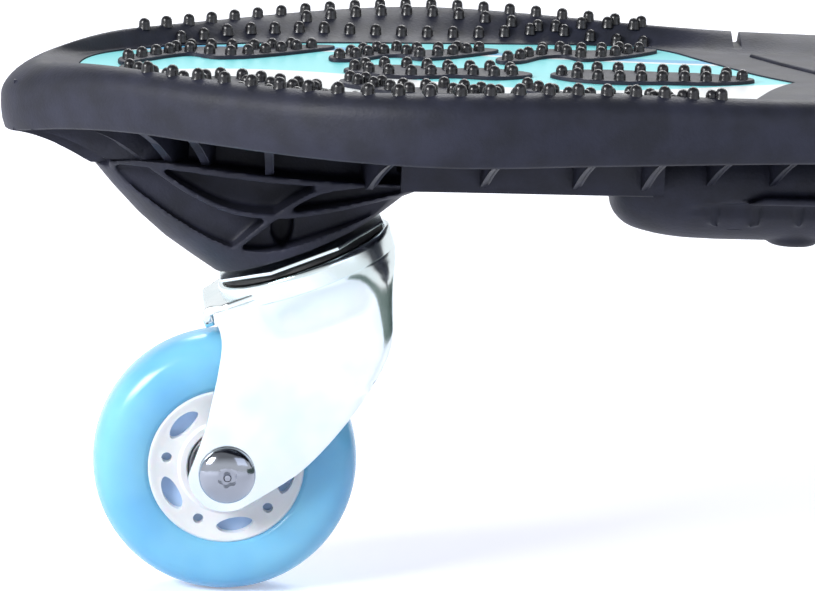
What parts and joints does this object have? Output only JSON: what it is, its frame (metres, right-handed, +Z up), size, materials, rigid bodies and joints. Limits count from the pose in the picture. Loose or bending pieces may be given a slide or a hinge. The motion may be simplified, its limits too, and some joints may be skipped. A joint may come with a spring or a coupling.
{
  "type": "two-wheel caster board",
  "caption": "Low board of two decks joined by a sprung torsion tube, each deck carried by one slanted swivel caster.",
  "frame": {"origin": "centre of the bounding box, on the ground under the middle of the board", "axes": "+X from the nose to the tail, +Y to the side away from the picture, +Z up"},
  "size_m": [0.686, 0.1954, 0.1592],
  "materials": {
    "moulding": "fine grain",
    "inlay": "satin",
    "zinc": "bright zinc",
    "steel": "ground",
    "spring": "dark oxide",
    "nylon": "satin",
    "seal": "matte",
    "brass": "turned",
    "tyre": "cast urethane",
    "hub": "satin"
  },
  "bodies": {
    "front": {"front_deck": "moulding", "front_inlay": "inlay", "torsion_tube": "zinc", "torsion_bar": "spring", "front_bar_block": "steel", "front_clamp_bolt": "zinc", "middle_ring": "seal", "front_mounting_plate": "zinc", "front_kingpin": "steel", "front_insert": "brass", "front_lower_race": "zinc"},
    "rear": {"rear_deck": "moulding", "rear_inlay": "inlay", "rear_bar_block": "steel", "rear_clamp_bolt": "zinc", "middle_bush": "nylon", "inner_bush": "nylon", "rear_mounting_plate": "zinc", "rear_kingpin": "steel", "rear_insert": "brass", "rear_lower_race": "zinc"},
    "front_caster": {"front_fork": "zinc", "front_dust_seal": "seal", "front_upper_ball_ring": "steel", "front_lower_ball_ring": "steel", "front_axle_bolt": "zinc", "front_axle_nut": "zinc", "front_axle_spacer": "steel", "front_near_axle_bush": "spring", "front_near_bearing_inner": "steel", "front_far_axle_bush": "spring", "front_far_bearing_inner": "steel"},
    "front_wheel": {"front_tyre": "tyre", "front_hub": "hub", "front_near_bearing_outer": "steel", "front_far_bearing_outer": "steel"},
    "rear_caster": {"rear_fork": "zinc", "rear_dust_seal": "seal", "rear_upper_ball_ring": "steel", "rear_lower_ball_ring": "steel", "rear_axle_bolt": "zinc", "rear_axle_nut": "zinc", "rear_axle_spacer": "steel", "rear_near_axle_bush": "spring", "rear_near_bearing_inner": "steel", "rear_far_axle_bush": "spring", "rear_far_bearing_inner": "steel"},
    "rear_wheel": {"rear_tyre": "tyre", "rear_hub": "hub", "rear_near_bearing_outer": "steel", "rear_far_bearing_outer": "steel"}
  },
  "joints": [
    {"name": "deck_twist", "type": "hinge", "parent": "front", "child": "rear", "pos_m": [0, 0, 0.12302], "axis": [1, 0, 0], "range_deg": [-25, 25], "stiffness_Nm_per_rad": 22, "deforming": ["torsion_bar"]},
    {"name": "front_swivel", "type": "hinge", "parent": "front", "child": "front_caster", "pos_m": [-0.2575, 0, 0.10162], "axis": [-0.3714, 0, 0.9285], "continuous": true},
    {"name": "front_wheel_spin", "type": "hinge", "parent": "front_caster", "child": "front_wheel", "pos_m": [-0.27707, 0, 0.038], "axis": [0, 1, 0], "continuous": true},
    {"name": "rear_swivel", "type": "hinge", "parent": "rear", "child": "rear_caster", "pos_m": [0.2575, 0, 0.10162], "axis": [-0.3714, 0, 0.9285], "continuous": true},
    {"name": "rear_wheel_spin", "type": "hinge", "parent": "rear_caster", "child": "rear_wheel", "pos_m": [0.23793, 0, 0.038], "axis": [0, 1, 0], "continuous": true}
  ]
}
